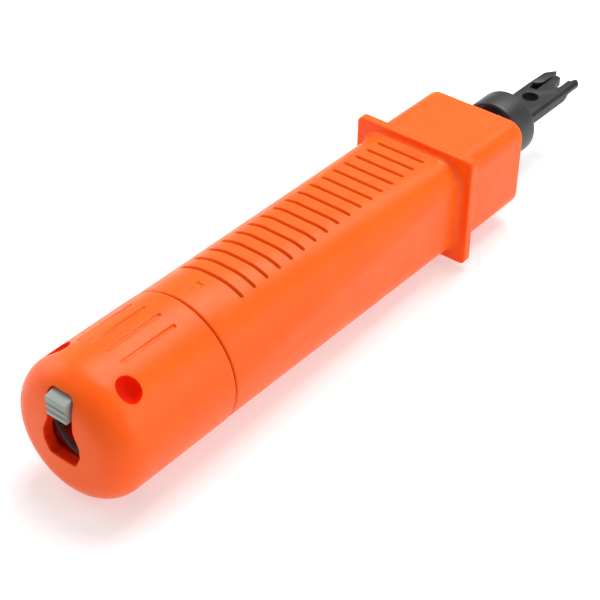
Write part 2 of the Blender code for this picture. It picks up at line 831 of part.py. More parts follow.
def main():
    clear_scene()
    materials = make_materials()
    frame = empty("tool_frame", None, (-MIDDLE, 0, CAP_RADIUS))
    cap_axis = empty("cap_axis", frame)
    selector_slide = empty("selector_slide", cap_axis)
    seat_slide = empty("seat_slide", cap_axis)
    plunger_slide = empty("plunger_slide", frame)
    hammer_slide = empty("hammer_slide", frame)
    latch_slide = empty("latch_slide", hammer_slide)
    blade_axis = empty("blade_axis", plunger_slide)

    handle_body(materials["orange_plastic"], frame)
    trip_ramp(materials["bright_steel"], frame)
    bush_inner = CHUCK_RADIUS + GAP
    ring_piece(
        "nose_bush",
        NOSE_BUSH_REAR,
        NOSE_FRONT - NOSE_WALL - GAP,
        bush_inner,
        NOSE_BORE_RADIUS - GAP,
        materials["bronze"],
        frame,
    )
    washer_rear, washer_front, washer_radius = STOP_WASHER
    ring_piece(
        "stop_washer",
        washer_rear,
        washer_front,
        bush_inner,
        washer_radius,
        materials["rubber"],
        frame,
    )

    end_cap(materials["orange_plastic"], cap_axis)
    detent_spring(materials["bright_steel"], cap_axis)
    selector(materials["grey_plastic"], selector_slide)
    spring_seat(materials["black_plastic"], seat_slide)

    hammer(materials["bright_steel"], hammer_slide)
    new_object(
        "latch_stop_pin",
        *rod_along_z(*STOP_PIN, STOP_PIN_RADIUS, 7.2),
        materials["spring_steel"],
        hammer_slide,
    )
    trip_latch(materials["bright_steel"], latch_slide)
    new_object(
        "latch_spring",
        *coil(LATCH_TAIL + GAP, 8.8, 1.3, 0.3, 4.5, (72.0, 0), "y"),
        materials["spring_steel"],
        latch_slide,
    )
    new_object(
        "hammer_spring",
        *coil(-16 + GAP, HAMMER_REAR - GAP, 7.9, 1.7, 12),
        materials["spring_steel"],
        seat_slide,
    )

    drive = turned(
        [
            (PIN_REAR, 0),
            (PIN_REAR, PIN_RADIUS - 0.3),
            (PIN_REAR + 0.3, PIN_RADIUS),
            (PIN_FRONT, PIN_RADIUS),
            (PIN_FRONT, 0),
        ],
        24,
    )
    new_object("drive_pin", *drive, materials["bright_steel"], plunger_slide)
    new_object(
        "return_spring",
        *coil(HAMMER_FRONT + GAP, CHUCK_REAR - GAP, 4.4, 0.9, 5),
        materials["spring_steel"],
        plunger_slide,
    )
    blade_chuck(materials["bright_steel"], plunger_slide)
    new_object(
        "blade_lock_spring",
        *coil(PIN_FRONT + 2 * GAP, SHANK_REAR - GAP, 2.4, 0.7, 4.5),
        materials["spring_steel"],
        plunger_slide,
    )

    blade_body(materials["black_steel"], blade_axis)
    blade_cutter(materials["black_steel"], blade_axis)
    blade_collar(materials["black_plastic"], blade_axis)
    new_object(
        "bayonet_pin",
        *rod((BAYONET_X, 0, 0), 0, BAYONET_RADIUS, BAYONET_HALF_LENGTH, 16),
        materials["bright_steel"],
        blade_axis,
    )


main()
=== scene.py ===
"""Looks of the impact punch down tool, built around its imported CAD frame.

Shapes are worked out in the tool's own frame, in millimetres: X runs along the tool's axis to the
blade with x = 0 at the seam of cap and handle, and Z points out of the grooved top. The function
to_row turns them into the row frame's metres. Materials are procedural.
"""

import json
import math

import bmesh
import bpy
import numpy as np
from mathutils import Euler, Matrix, Vector


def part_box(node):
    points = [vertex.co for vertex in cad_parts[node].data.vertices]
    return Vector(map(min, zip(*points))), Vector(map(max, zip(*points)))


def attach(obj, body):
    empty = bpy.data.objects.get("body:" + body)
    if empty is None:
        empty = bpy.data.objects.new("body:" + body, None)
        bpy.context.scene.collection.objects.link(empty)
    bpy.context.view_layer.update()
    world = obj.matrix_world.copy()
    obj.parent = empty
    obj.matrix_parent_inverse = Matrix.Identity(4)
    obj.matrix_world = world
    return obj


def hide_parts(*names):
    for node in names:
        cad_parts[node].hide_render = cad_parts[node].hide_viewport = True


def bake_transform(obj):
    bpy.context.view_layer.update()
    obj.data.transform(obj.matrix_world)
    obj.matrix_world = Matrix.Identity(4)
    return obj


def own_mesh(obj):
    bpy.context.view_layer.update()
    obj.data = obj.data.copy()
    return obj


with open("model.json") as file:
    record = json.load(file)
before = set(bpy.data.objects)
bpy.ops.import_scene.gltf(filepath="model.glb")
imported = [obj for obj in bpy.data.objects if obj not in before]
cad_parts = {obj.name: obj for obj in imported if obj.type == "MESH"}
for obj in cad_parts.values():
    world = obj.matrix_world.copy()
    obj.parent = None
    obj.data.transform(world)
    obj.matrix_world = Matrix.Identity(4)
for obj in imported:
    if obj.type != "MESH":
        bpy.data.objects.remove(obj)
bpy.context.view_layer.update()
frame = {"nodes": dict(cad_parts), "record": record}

MM = 0.001
SEAM_GAP = 0.3
CAP_LOW, CAP_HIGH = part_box("end_cap")
ORIGIN = np.array([CAP_HIGH.x + SEAM_GAP * MM, 0, (CAP_LOW.z + CAP_HIGH.z) / 2])

# Handle
SEAM_RADIUS = 15.3
SEAM_EDGE = 0.5
SEAM_FLOOR_START = -SEAM_GAP + 0.06
SEAM_FLOOR_DEPTH = 0.65
# Painted shade: how far in from the seam's rim the handle takes the darker colour standing in for the shade
# in the gap
SEAM_PAINTED_SHADE_DEPTH = 0.15
BODY_END = 79.0
BODY_HALF_WIDTH = 13.1
BODY_TOP = 11.9
BODY_BOTTOM = 12.3
BODY_CORNER = 5.4
FLANGE_FRONT = 81.4
FLANGE_HALF_WIDTH = 16.0
FLANGE_HALF_HEIGHT = 13.85
FLANGE_CORNER = 1.4
FLANGE_EDGE = 0.4
FLANGE_FILLET = 1.6
FLANGE_FILLET_SHARES = (1, 0.76, 0.45, 1)
NOSE_FRONT = 104.3
NOSE_HALF_WIDTH = 13.7
NOSE_HALF_HEIGHT = 11.4
NOSE_CORNER = 4.1
NOSE_EDGE = 0.7
NOSE_FILLET = 0.5
NOSE_BORE_START = 81.0
NOSE_BORE_RADIUS = 9.0
NOSE_MOUTH_RADIUS = 7.6
NOSE_MOUTH_EDGE = 0.3
NOSE_WALL = 1.6
BORE_RADIUS = 10.2
SPIGOT_RADIUS = 13.2
SPIGOT_LENGTH = 8.0
RAMP_POCKET_X = (58.2, 76.0)
RAMP_POCKET_DEPTH = 11.2
RAMP_POCKET_HALF = 4.7
LUG_X = (-6.1, -3.1)
LUG_HEIGHT = 0.8
LUG_HALF_ANGLE = 14

# Marks on the top of the handle
GROOVE_COUNT = 17
GROOVE_X = (10.5, 75.0)
GROOVE_HALF_LENGTHS = (8.15, 6.45)
GROOVE_MIDDLES = (0.25, 0.75)
GROOVE_HALF_WIDTH = 0.42
GROOVE_DEPTH = 0.8
POINTER = ((3.7, -0.3), (6.8, -1.0), (6.8, 0.8))
POINTER_DEPTH = 0.35
# Painted shade: marks sunk deeper than this take the darker colour standing in for the shade in grooves and
# pointer
MARK_PAINTED_SHADE_DEPTH = 0.3

# End cap
CAP_LENGTH = 33.0
CAP_RADIUS = 15.4
CAP_CORNER = 6.8
CAP_CROWN = 100.0
CAP_WALL = 4.0
CAP_END_WALL = 2.3
GRIP_HOLE_X = -23.3
GRIP_HOLE_RADII = (2.5, 2.88)
GRIP_HOLE_DEPTH = 3.6
GRIP_HOLE_ANGLES = (52, 127, 232, 307)
FLUTE_ANGLES = (48.5, 63.5, 78.5, 93.5, 108.5)
FLUTE_X = (-20.6, -5.8)
FLUTE_HALF_WIDTH = 0.42
FLUTE_DEPTHS = (0.2, 0.5)
CAP_TWIST = 40

# Selector and its slot
SLOT_HALF = (
    (3.15, 12.2, 1.5),
    (3.15, 4.7, 0.8),
    (4.65, 1.2, 0.8),
    (4.65, -1.0, 0.8),
    (3.35, -3.8, 1.0),
)
SLOT_RIM = 0.3
SLOT_DEPTH = 4.8
# Painted shade: how far in from the cap's rim the seam edge takes the deeper red recess colour
CAP_PAINTED_SHADE_DEPTH = 0.2
KNOB_FACE = -33.5
KNOB_HALF_WIDTH = 2.62
KNOB_Z = (6.5, 11.8)
KNOB_FACE_TOP = 10.9
NECK_HALF_WIDTH = 2.5
RAIL_Y = (3.4, 4.78)
RAIL_Z = (0.0, 9.4)
RAIL_BACK = -26.0
WEDGE_FACE = -23.0
WEDGE_SLOPE = 3.0 / 9.0
DETENT_X = (-28.0, -26.5)
DETENT_RADII = (6.9, 8.5)

# Drive train and blade
CHUCK_REAR = 86.0
CHUCK_REAR_RADIUS = 5.6
CHUCK_SHOULDER = (94.0, 97.0)
CHUCK_SHOULDER_RADIUS = 8.5
CHUCK_FRONT = 111.7
CHUCK_RADIUS = 7.0
CHUCK_BORE = 3.4
PIN_HOLE_RADIUS = 2.8
PIN_HOLE_END = 90.3
BAYONET_X = 101.0
BAYONET_HOLE_RADIUS = 1.2
BLADE_TURN = 90
SHANK_REAR = 96.0
SHANK_RADIUS = 3.0
COLLAR_X = (112.0, 119.8)
COLLAR_RADIUS = 8.1
COLLAR_HOLE_RADIUS = 3.3
BLADE_START = 117.2
BLADE_TIP = 145.8
BLADE_HALF_WIDTH = 4.6
BLADE_HALF_THICKNESS = 1.75
BLADE_HOLE = (130.7, 0.5)
BLADE_HOLE_RADIUS = 2.0
BLADE_LUMP = (137.7, -3.3)
BLADE_LUMP_PROFILE = ((-0.6, 0), (-0.45, 0.16), (0, 0.22), (0.45, 0.16), (0.6, 0))
POCKET_FLOOR = -0.3
FORK_STEP = (138.6, 140.8)
PRONG_RISE = 1.25

# Camera, in the tool's frame
CAMERA_PLACE = (-180.19, -173.27, 206.51)
CAMERA_AIM = (24.92, -10.83, 5.41)
CAMERA_ROLL = 0.97
CAMERA_LENS = 96.7


# Points and meshes


def to_row(points):
    return np.asarray(points, float) * MM + ORIGIN


def mix(a, b, share):
    return a + (b - a) * share


def smooth_step(value):
    value = np.clip(value, 0, 1)
    return value * value * (3 - 2 * value)


def piece(name, points, faces, material=None, sharp=32):
    """A mesh object from points in the tool's frame, faces turned out and smooth but for sharp edges."""
    mesh = bpy.data.meshes.new(name)
    mesh.from_pydata(to_row(points).tolist(), [], faces)
    bm = bmesh.new()
    bm.from_mesh(mesh)
    bmesh.ops.recalc_face_normals(bm, faces=bm.faces)
    bm.to_mesh(mesh)
    bm.free()
    mesh.shade_smooth()
    mesh.set_sharp_from_angle(angle=math.radians(sharp))
    obj = bpy.data.objects.new(name, mesh)
    bpy.context.scene.collection.objects.link(obj)
    if material:
        mesh.materials.append(material)
    return obj


def settle(obj, sharp=32):
    """Turns the object's modifiers into its mesh."""
    bpy.context.view_layer.update()
    graph = bpy.context.evaluated_depsgraph_get()
    mesh = bpy.data.meshes.new_from_object(obj.evaluated_get(graph))
    obj.modifiers.clear()
    obj.data = mesh
    mesh.shade_smooth()
    mesh.set_sharp_from_angle(angle=math.radians(sharp))
    return obj


def carve(obj, cutters, operation="DIFFERENCE", sharp=32, inside=None):
    """Boolean with each (points, faces) shape in turn, applied to the mesh. The cut faces take the
    material called inside, where it is given."""
    for number, (points, faces) in enumerate(cutters):
        helper = piece(f"{obj.name}_cut_{number}", points, faces, inside)
        modifier = obj.modifiers.new("Carve", "BOOLEAN")
        modifier.operation = operation
        modifier.solver = "EXACT"
        modifier.material_mode = "TRANSFER" if inside else "INDEX"
        modifier.object = helper
        settle(obj, sharp)
        bpy.data.objects.remove(helper, do_unlink=True)
    return obj


def bevel(obj, width, segments=2, angle=35, sharp=32):
    modifier = obj.modifiers.new("Bevel", "BEVEL")
    modifier.width = width * MM
    modifier.segments = segments
    modifier.limit_method = "ANGLE"
    modifier.angle_limit = math.radians(angle)
    modifier.use_clamp_overlap = True
    return settle(obj, sharp)


def paint(obj, material, chosen):
    """Gives a second material to the faces whose middle, in the tool's frame, is chosen."""
    obj.data.materials.append(material)
    for face in obj.data.polygons:
        x, y, z = (np.array(face.center) - ORIGIN) / MM
        if chosen(x, y, z):
            face.material_index = len(obj.data.materials) - 1


def skin(rings, closed=False):
    """Quads over rings of equal length. A closed skin joins its last ring to its first."""
    rings = np.asarray(rings, float)
    rows, count, _ = rings.shape
    faces = []
    for row in range(rows if closed else rows - 1):
        low, high = row * count, (row + 1) % rows * count
        for i in range(count):
            j = (i + 1) % count
            faces.append((low + i, low + j, high + j, high + i))
    if not closed:
        faces.append(tuple(range(count)))
        faces.append(tuple(range((rows - 1) * count, rows * count)))
    return rings.reshape(-1, 3), faces


def turned(profile, segments=96, angles=None, reshape=None):
    """A closed (x, radius) outline turned about the axis; radius 0 gives a pole."""
    if angles is None:
        angles = np.linspace(0, 2 * math.pi, segments, endpoint=False)
    count = len(angles)
    points, rows = [], []
    for x, radius in profile:
        start = len(points)
        if radius == 0:
            rows.append([start] * count)
            points.append((x, 0, 0))
            continue
        rows.append(list(range(start, start + count)))
        radii = np.full(count, float(radius))
        if reshape:
            radii = reshape(x, radii, angles)
        points += list(zip([x] * count, radii * np.cos(angles), radii * np.sin(angles)))
    faces = []
    for row, below in enumerate(rows):
        above = rows[(row + 1) % len(rows)]
        for i in range(count):
            j = (i + 1) % count
            corners = list(dict.fromkeys((below[i], below[j], above[j], above[i])))
            if len(corners) > 2:
                faces.append(tuple(corners))
    return points, faces


def rounded(outline, steps=6, spacing=None):
    """An outline of (a, b, corner radius) points with its corners rounded, as (a, b) points."""
    found = []
    count = len(outline)
    for i, (a, b, radius) in enumerate(outline):
        here = Vector((a, b))
        before = (Vector(outline[i - 1][:2]) - here).normalized()
        after = (Vector(outline[(i + 1) % count][:2]) - here).normalized()
        if radius <= 0:
            found.append(tuple(here))
            continue
        half = before.angle(after) / 2
        setback = radius / math.tan(half)
        centre = here + (before + after).normalized() * radius / math.sin(half)
        first = here + before * setback - centre
        last = here + after * setback - centre
        swing = first.angle_signed(last)
        for k in range(steps + 1):
            found.append(tuple(centre + first @ Matrix.Rotation(swing * k / steps, 2)))
    if spacing is None:
        return found
    dense = []
    for i, here in enumerate(found):
        after = Vector(found[(i + 1) % len(found)])
        here = Vector(here)
        pieces = max(1, math.ceil((after - here).length / spacing))
        dense += [tuple(here.lerp(after, k / pieces)) for k in range(pieces)]
    return dense


def outline_normals(outline):
    """The outward unit normal at each point of an outline."""
    points = np.asarray(outline, float)
    along = np.roll(points, -1, axis=0) - np.roll(points, 1, axis=0)
    normals = np.stack([along[:, 1], -along[:, 0]], axis=1)
    normals /= np.linalg.norm(normals, axis=1, keepdims=True)
    area = np.sum(points[:, 0] * np.roll(points[:, 1], -1) - points[:, 1] * np.roll(points[:, 0], -1))
    return normals if area > 0 else -normals


def sunk(outline, surface, floor, rim, place, floor_edge=0.0, steps=6, head=2.0):
    """A cutter for a recess: straight walls down to the floor, and a rounded rim that follows the
    surface. surface(a, b) is the skin's height and place(a, b, height) a point in the tool's frame."""
    flat = np.asarray(outline, float)
    normals = outline_normals(outline)
    skin_height = surface(flat[:, 0], flat[:, 1])
    rows = []
    if floor_edge:
        for k in range(4):
            turn = math.radians(90 * k / 3)
            offset = -floor_edge * (1 - math.sin(turn))
            rows.append((offset, np.full(len(flat), floor + floor_edge * (1 - math.cos(turn)))))
    else:
        rows.append((0, np.full(len(flat), float(floor))))
    most = 78
    for k in range(steps + 1):
        turn = math.radians(most * k / steps)
        rows.append((rim * (1 - math.cos(turn)), skin_height - rim * (1 - math.sin(turn))))
    turn = math.radians(most)
    offset = rim * (1 - math.cos(turn)) + rim * math.sin(turn)
    rows.append((offset, skin_height - rim * (1 - math.sin(turn)) + rim * math.cos(turn)))
    rows.append((offset, np.full(len(flat), skin_height.max() + head)))
    rings = []
    for offset, height in rows:
        moved = flat + normals * offset
        rings.append([place(a, b, h) for (a, b), h in zip(moved, height)])
    return skin(rings)


def prism(outline, axis, low, high):
    place = {
        "x": lambda a, b, level: (level, a, b),
        "y": lambda a, b, level: (a, level, b),
        "z": lambda a, b, level: (a, b, level),
    }[axis]
    return skin([[place(a, b, level) for a, b in outline] for level in (low, high)])


def box(low, high):
    outline = [(low[1], low[2]), (high[1], low[2]), (high[1], high[2]), (low[1], high[2])]
    return prism(outline, "x", low[0], high[0])


def circle(centre, radius, segments=48):
    found = []
    for i in range(segments):
        angle = 2 * math.pi * i / segments
        found.append((centre[0] + radius * math.cos(angle), centre[1] + radius * math.sin(angle)))
    return found


def rod(centre, direction, radius, half_length, segments=32):
    """A round bar across the axis; direction is an angle from +Y."""
    turn = math.radians(direction)
    along = np.array([0, math.cos(turn), math.sin(turn)])
    side = np.array([0, -math.sin(turn), math.cos(turn)])
    rings = []
    for offset in (-half_length, half_length):
        middle = np.array(centre) + along * offset
        rings.append([middle + np.array([a, 0, 0]) + side * b for a, b in circle((0, 0), radius, segments)])
    return skin(rings)


def sector(x0, x1, inner, outer, start, end, steps=24):
    """A sector of a ring about the axis, between two angles in degrees from +Y."""
    outline = []
    for radius, order in ((inner, range(steps + 1)), (outer, range(steps, -1, -1))):
        for i in order:
            angle = math.radians(mix(start, end, i / steps))
            outline.append((radius * math.cos(angle), radius * math.sin(angle)))
    return prism(outline, "x", x0, x1)


def round_edge(x, radius, edge, towards_x, towards_r, steps=5, reverse=False):
    """Points of a rounded (x, radius) edge. towards_x and towards_r say on which side the solid is."""
    centre = (x + towards_x * edge, radius + towards_r * edge)
    found = []
    for k in range(steps + 1):
        turn = math.radians(90 * k / steps)
        found.append(
            (centre[0] - towards_x * edge * math.sin(turn), centre[1] - towards_r * edge * math.cos(turn))
        )
    return found[::-1] if reverse else found


# Handle


RING_GAP = 0.12
TOP_COUNT = 100
BOTTOM_COUNT = 44
TOP_CROWDING = 0.5


def quarter(half_width, height, corner, shares):
    """Points and outward normals along a quarter of a rounded rectangle, from its side to its top.
    Round stretches count double, so that tight corners get enough points."""
    side, arc, flat = height - corner, math.pi * corner, half_width - corner
    run = shares * (side + arc + flat)
    turn = np.clip((run - side) / arc, 0, 1) * math.pi / 2
    up = np.minimum(run, side)
    across = np.maximum(run - side - arc, 0)
    y = flat + corner * np.cos(turn) - across
    z = up + corner * np.sin(turn)
    return np.stack([y, z], 1), np.stack([np.cos(turn), np.sin(turn)], 1)


def section(half_width, top, bottom, corner):
    """A full rounded rectangle, crowded towards the middle of its top."""
    even = np.arange(TOP_COUNT + 1) / TOP_COUNT
    crowded = even + TOP_CROWDING * np.sin(math.pi * even) / math.pi
    upper, upper_normals = quarter(half_width, top, corner, crowded)
    lower, lower_normals = quarter(half_width, bottom, corner, np.arange(BOTTOM_COUNT + 1) / BOTTOM_COUNT)
    quads, normals = [], []
    for points, sides, signs, backwards in (
        (upper, upper_normals, (1, 1), False),
        (upper, upper_normals, (-1, 1), True),
        (lower, lower_normals, (-1, -1), False),
        (lower, lower_normals, (1, -1), True),
    ):
        picked = slice(None, 0, -1) if backwards else slice(0, -1)
        quads.append(points[picked] * signs)
        normals.append(sides[picked] * signs)
    return np.concatenate(quads), np.concatenate(normals)


def body_section(x, outward=0.0):
    share = x / BODY_END
    sizes = (
        mix(SEAM_RADIUS, BODY_HALF_WIDTH, share),
        mix(SEAM_RADIUS, BODY_TOP, share),
        mix(SEAM_RADIUS, BODY_BOTTOM, share),
        mix(SEAM_RADIUS - 0.01, BODY_CORNER, share),
    )
    return [size + outward * part for size, part in zip(sizes, FLANGE_FILLET_SHARES)]


def triangle_distance(x, y, corners):
    """Distance to a triangle, negative inside it."""
    nearest, outside = np.full(np.shape(y), 1e9), np.full(np.shape(y), -1e9)
    for i, (x0, y0) in enumerate(corners):
        x1, y1 = corners[(i + 1) % 3]
        length = math.hypot(x1 - x0, y1 - y0)
        along = np.clip(((x - x0) * (x1 - x0) + (y - y0) * (y1 - y0)) / length**2, 0, 1)
        nearest = np.minimum(nearest, np.hypot(x - x0 - along * (x1 - x0), y - y0 - along * (y1 - y0)))
        outside = np.maximum(outside, ((x - x0) * (y1 - y0) - (y - y0) * (x1 - x0)) / length)
    return np.where(outside < 0, -nearest, nearest)


def top_marks(x, y):
    """How deep the grooves and the pointer are sunk at points of the top."""
    depth = np.zeros(len(y))
    pitch = (GROOVE_X[1] - GROOVE_X[0]) / (GROOVE_COUNT - 1)
    number = round((x - GROOVE_X[0]) / pitch)
    if 0 <= number < GROOVE_COUNT:
        share = number / (GROOVE_COUNT - 1)
        reach = mix(*GROOVE_HALF_LENGTHS, share) - GROOVE_HALF_WIDTH
        away = np.maximum(np.abs(y - mix(*GROOVE_MIDDLES, share)) - reach, 0)
        distance = np.hypot(x - GROOVE_X[0] - number * pitch, away) - GROOVE_HALF_WIDTH
        depth = GROOVE_DEPTH * smooth_step((0.12 - distance) / 0.3)
    if x < POINTER[1][0] + 1:
        depth += POINTER_DEPTH * smooth_step((0.1 - triangle_distance(x, y, POINTER)) / 0.24)
    return depth


def body_stations():
    """Stations along the handle's body: close together at every groove and at the pointer."""
    found = set(np.round(np.arange(3.3, 7.2, 0.13), 3))
    found |= {1.0, 2.0, 2.8, 8.0, 77.0}
    pitch = (GROOVE_X[1] - GROOVE_X[0]) / (GROOVE_COUNT - 1)
    for number in range(GROOVE_COUNT):
        middle = GROOVE_X[0] + number * pitch
        for offset in (0.0, 0.27, 0.34, 0.4, 0.46, 0.52, 0.6, 0.75, 1.3):
            found |= {round(middle - offset, 3), round(middle + offset, 3)}
    return sorted(x for x in found if x < BODY_END - FLANGE_FILLET - 0.1)


def handle_rings():
    """Every ring of the handle, outside from the seam to the nose, then back through its bore."""
    rings = []

    def add(x, sizes, marked=False):
        flat, normals = section(*sizes)
        if marked:
            sunk_by = top_marks(x, flat[:, 0]) * (flat[:, 1] > 0)
            flat = flat - normals * sunk_by[:, None]
        rings.append(np.column_stack([np.full(len(flat), x), flat]))

    def add_round(x, radius):
        add(x, (radius, radius, radius, radius - 0.001))

    def rectangle(half_width, half_height, corner, inset):
        return (half_width - inset, half_height - inset, half_height - inset, max(corner - inset, 0.2))

    for x, radius in round_edge(0, SEAM_RADIUS, SEAM_EDGE, 1, -1, reverse=True):
        add_round(x, radius)
    for x in body_stations():
        add(x, body_section(x), marked=True)
    for k in range(8):
        turn = math.radians(90 * k / 7)
        x = BODY_END - FLANGE_FILLET * (1 - math.sin(turn))
        add(x, body_section(x, FLANGE_FILLET * (1 - math.cos(turn))))
    add(BODY_END, body_section(BODY_END, FLANGE_FILLET + RING_GAP))
    flange = (FLANGE_HALF_WIDTH, FLANGE_HALF_HEIGHT, FLANGE_CORNER)
    nose = (NOSE_HALF_WIDTH, NOSE_HALF_HEIGHT, NOSE_CORNER)
    add(BODY_END, rectangle(*flange, FLANGE_EDGE + RING_GAP))
    for x, inset in round_edge(BODY_END, 0, FLANGE_EDGE, 1, 1, reverse=True):
        add(x, rectangle(*flange, inset))
    for x, inset in round_edge(FLANGE_FRONT, 0, FLANGE_EDGE, -1, 1):
        add(x, rectangle(*flange, inset))
    add(FLANGE_FRONT, rectangle(*flange, FLANGE_EDGE + RING_GAP))
    add(FLANGE_FRONT, rectangle(*nose, -NOSE_FILLET - RING_GAP))
    for x, inset in round_edge(FLANGE_FRONT, -NOSE_FILLET, -NOSE_FILLET, -1, -1, reverse=True)[::-1]:
        add(x, rectangle(*nose, inset))
    for x in np.linspace(FLANGE_FRONT + 1.2, NOSE_FRONT - NOSE_EDGE - 0.3, 9):
        add(x, rectangle(*nose, 0))
    for x, inset in round_edge(NOSE_FRONT, 0, NOSE_EDGE, -1, 1, steps=7):
        add(x, rectangle(*nose, inset))
    add(NOSE_FRONT, rectangle(*nose, NOSE_EDGE + 0.15))
    add_round(NOSE_FRONT, NOSE_MOUTH_RADIUS + NOSE_MOUTH_EDGE + RING_GAP)
    mouth = round_edge(NOSE_FRONT, NOSE_MOUTH_RADIUS, NOSE_MOUTH_EDGE, -1, 1, steps=4, reverse=True)
    for x, radius in mouth:
        add_round(x, radius)
    inner = NOSE_FRONT - NOSE_WALL
    for x, radius in (
        (inner, NOSE_MOUTH_RADIUS),
        (inner, NOSE_BORE_RADIUS),
        (NOSE_BORE_START, NOSE_BORE_RADIUS),
        (NOSE_BORE_START, BORE_RADIUS),
        (RAMP_POCKET_X[1], BORE_RADIUS),
    ):
        add_round(x, radius)
    for x in RAMP_POCKET_X[::-1]:
        add_round(x, BORE_RADIUS)
        ring = rings[-1]
        inside = (ring[:, 1] < 0) & (np.abs(ring[:, 2]) < RAMP_POCKET_HALF)
        ring[inside, 1] = -RAMP_POCKET_DEPTH
    add_round(RAMP_POCKET_X[0], BORE_RADIUS)
    for x, radius in (
        (-SPIGOT_LENGTH, BORE_RADIUS),
        (-SPIGOT_LENGTH, SPIGOT_RADIUS - 0.4),
        (-SPIGOT_LENGTH + 0.4, SPIGOT_RADIUS),
        (SEAM_FLOOR_START, SPIGOT_RADIUS),
        (SEAM_FLOOR_START, SEAM_RADIUS - SEAM_FLOOR_DEPTH),
        (0, SEAM_RADIUS - SEAM_FLOOR_DEPTH),
    ):
        add_round(x, radius)
    return rings


def in_painted_shade(x, y, z):
    """The floors and lower walls of the marks, and the inside of the seam, take a painted shade: a darker
    colour that stands in for the shade falling in them.
    """
    if x < 0.1:
        return math.hypot(y, z) < SEAM_RADIUS - SEAM_PAINTED_SHADE_DEPTH
    on_top = z > 0 and x < BODY_END - FLANGE_FILLET
    return on_top and top_marks(x, np.array([y]))[0] > MARK_PAINTED_SHADE_DEPTH


def make_handle(material, shade):
    body = piece("handle_shell", *skin(handle_rings(), closed=True), material, sharp=40)
    # Painted shade: the grooves, the pointer and the seam take a darker colour for the shade in them
    paint(body, shade, in_painted_shade)
    for number, centre in enumerate((0, 180)):
        lug = piece(
            f"cap_lug_{number + 1}",
            *sector(
                *LUG_X,
                SPIGOT_RADIUS - 1,
                SPIGOT_RADIUS + LUG_HEIGHT,
                centre - LUG_HALF_ANGLE,
                centre + LUG_HALF_ANGLE,
                10,
            ),
            material,
        )
        bevel(lug, 0.15)
        fit(lug, "handle")
    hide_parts("handle_body")
    fit(body, "handle")


# End cap


def dome_x(radius):
    """Where the cap's outer skin is at a distance from the axis, in the dome and its round corner."""
    corner_height = CAP_RADIUS - CAP_CORNER
    reach = CAP_CROWN - CAP_CORNER
    crown_x = -CAP_LENGTH + CAP_CROWN
    corner_x = crown_x - math.sqrt(reach**2 - corner_height**2)
    tangent = CAP_CROWN * corner_height / reach
    radius = np.minimum(radius, CAP_RADIUS)
    crown = crown_x - np.sqrt(CAP_CROWN**2 - radius**2)
    past = np.clip(radius - corner_height, 0, CAP_CORNER)
    corner = corner_x - np.sqrt(CAP_CORNER**2 - past**2)
    return np.where(radius < tangent, crown, corner)


def dome_outline(end, radius, corner, crown_steps, corner_steps):
    corner_height = radius - corner
    reach = CAP_CROWN - corner
    crown_x = end + CAP_CROWN
    corner_x = crown_x - math.sqrt(reach**2 - corner_height**2)
    lean = math.asin(corner_height / reach)
    outline = [(end, 0)]
    for k in range(1, crown_steps):
        across = CAP_CROWN * math.sin(lean * k / crown_steps)
        outline.append((crown_x - math.sqrt(CAP_CROWN**2 - across**2), across))
    for k in range(corner_steps + 1):
        angle = mix(math.pi / 2 - lean, 0, k / corner_steps)
        outline.append((corner_x - corner * math.sin(angle), corner_height + corner * math.cos(angle)))
    return outline


def cap_angles():
    """Angles round the cap, close together at each grip flute."""
    found = set(range(0, 360, 2))
    for middle in FLUTE_ANGLES:
        for offset in (0.0, 0.5, 0.95, 1.3, 1.6, 1.9, 2.2, 2.6, 3.3, 4.4):
            found |= {middle - offset, middle + offset}
    found = sorted(found)
    spaced = [found[0]]
    for angle in found[1:]:
        if angle - spaced[-1] > 0.28:
            spaced.append(angle)
    return np.radians(spaced)


def flutes(x, radii, angles):
    """Sinks the short grip flutes into the cap's side."""
    if radii[0] < CAP_RADIUS - 0.01 or not FLUTE_X[0] - 1 < x < FLUTE_X[1] + 1:
        return radii
    share = np.clip((x - FLUTE_X[0]) / (FLUTE_X[1] - FLUTE_X[0]), 0, 1)
    middle, half = (FLUTE_X[0] + FLUTE_X[1]) / 2, (FLUTE_X[1] - FLUTE_X[0]) / 2
    away = max(abs(x - middle) - (half - FLUTE_HALF_WIDTH), 0)
    for centre in FLUTE_ANGLES:
        across = (angles - math.radians(centre)) * CAP_RADIUS
        distance = np.hypot(across, away) - FLUTE_HALF_WIDTH
        radii = radii - mix(*FLUTE_DEPTHS, share) * smooth_step((0.16 - distance) / 0.4)
    return radii


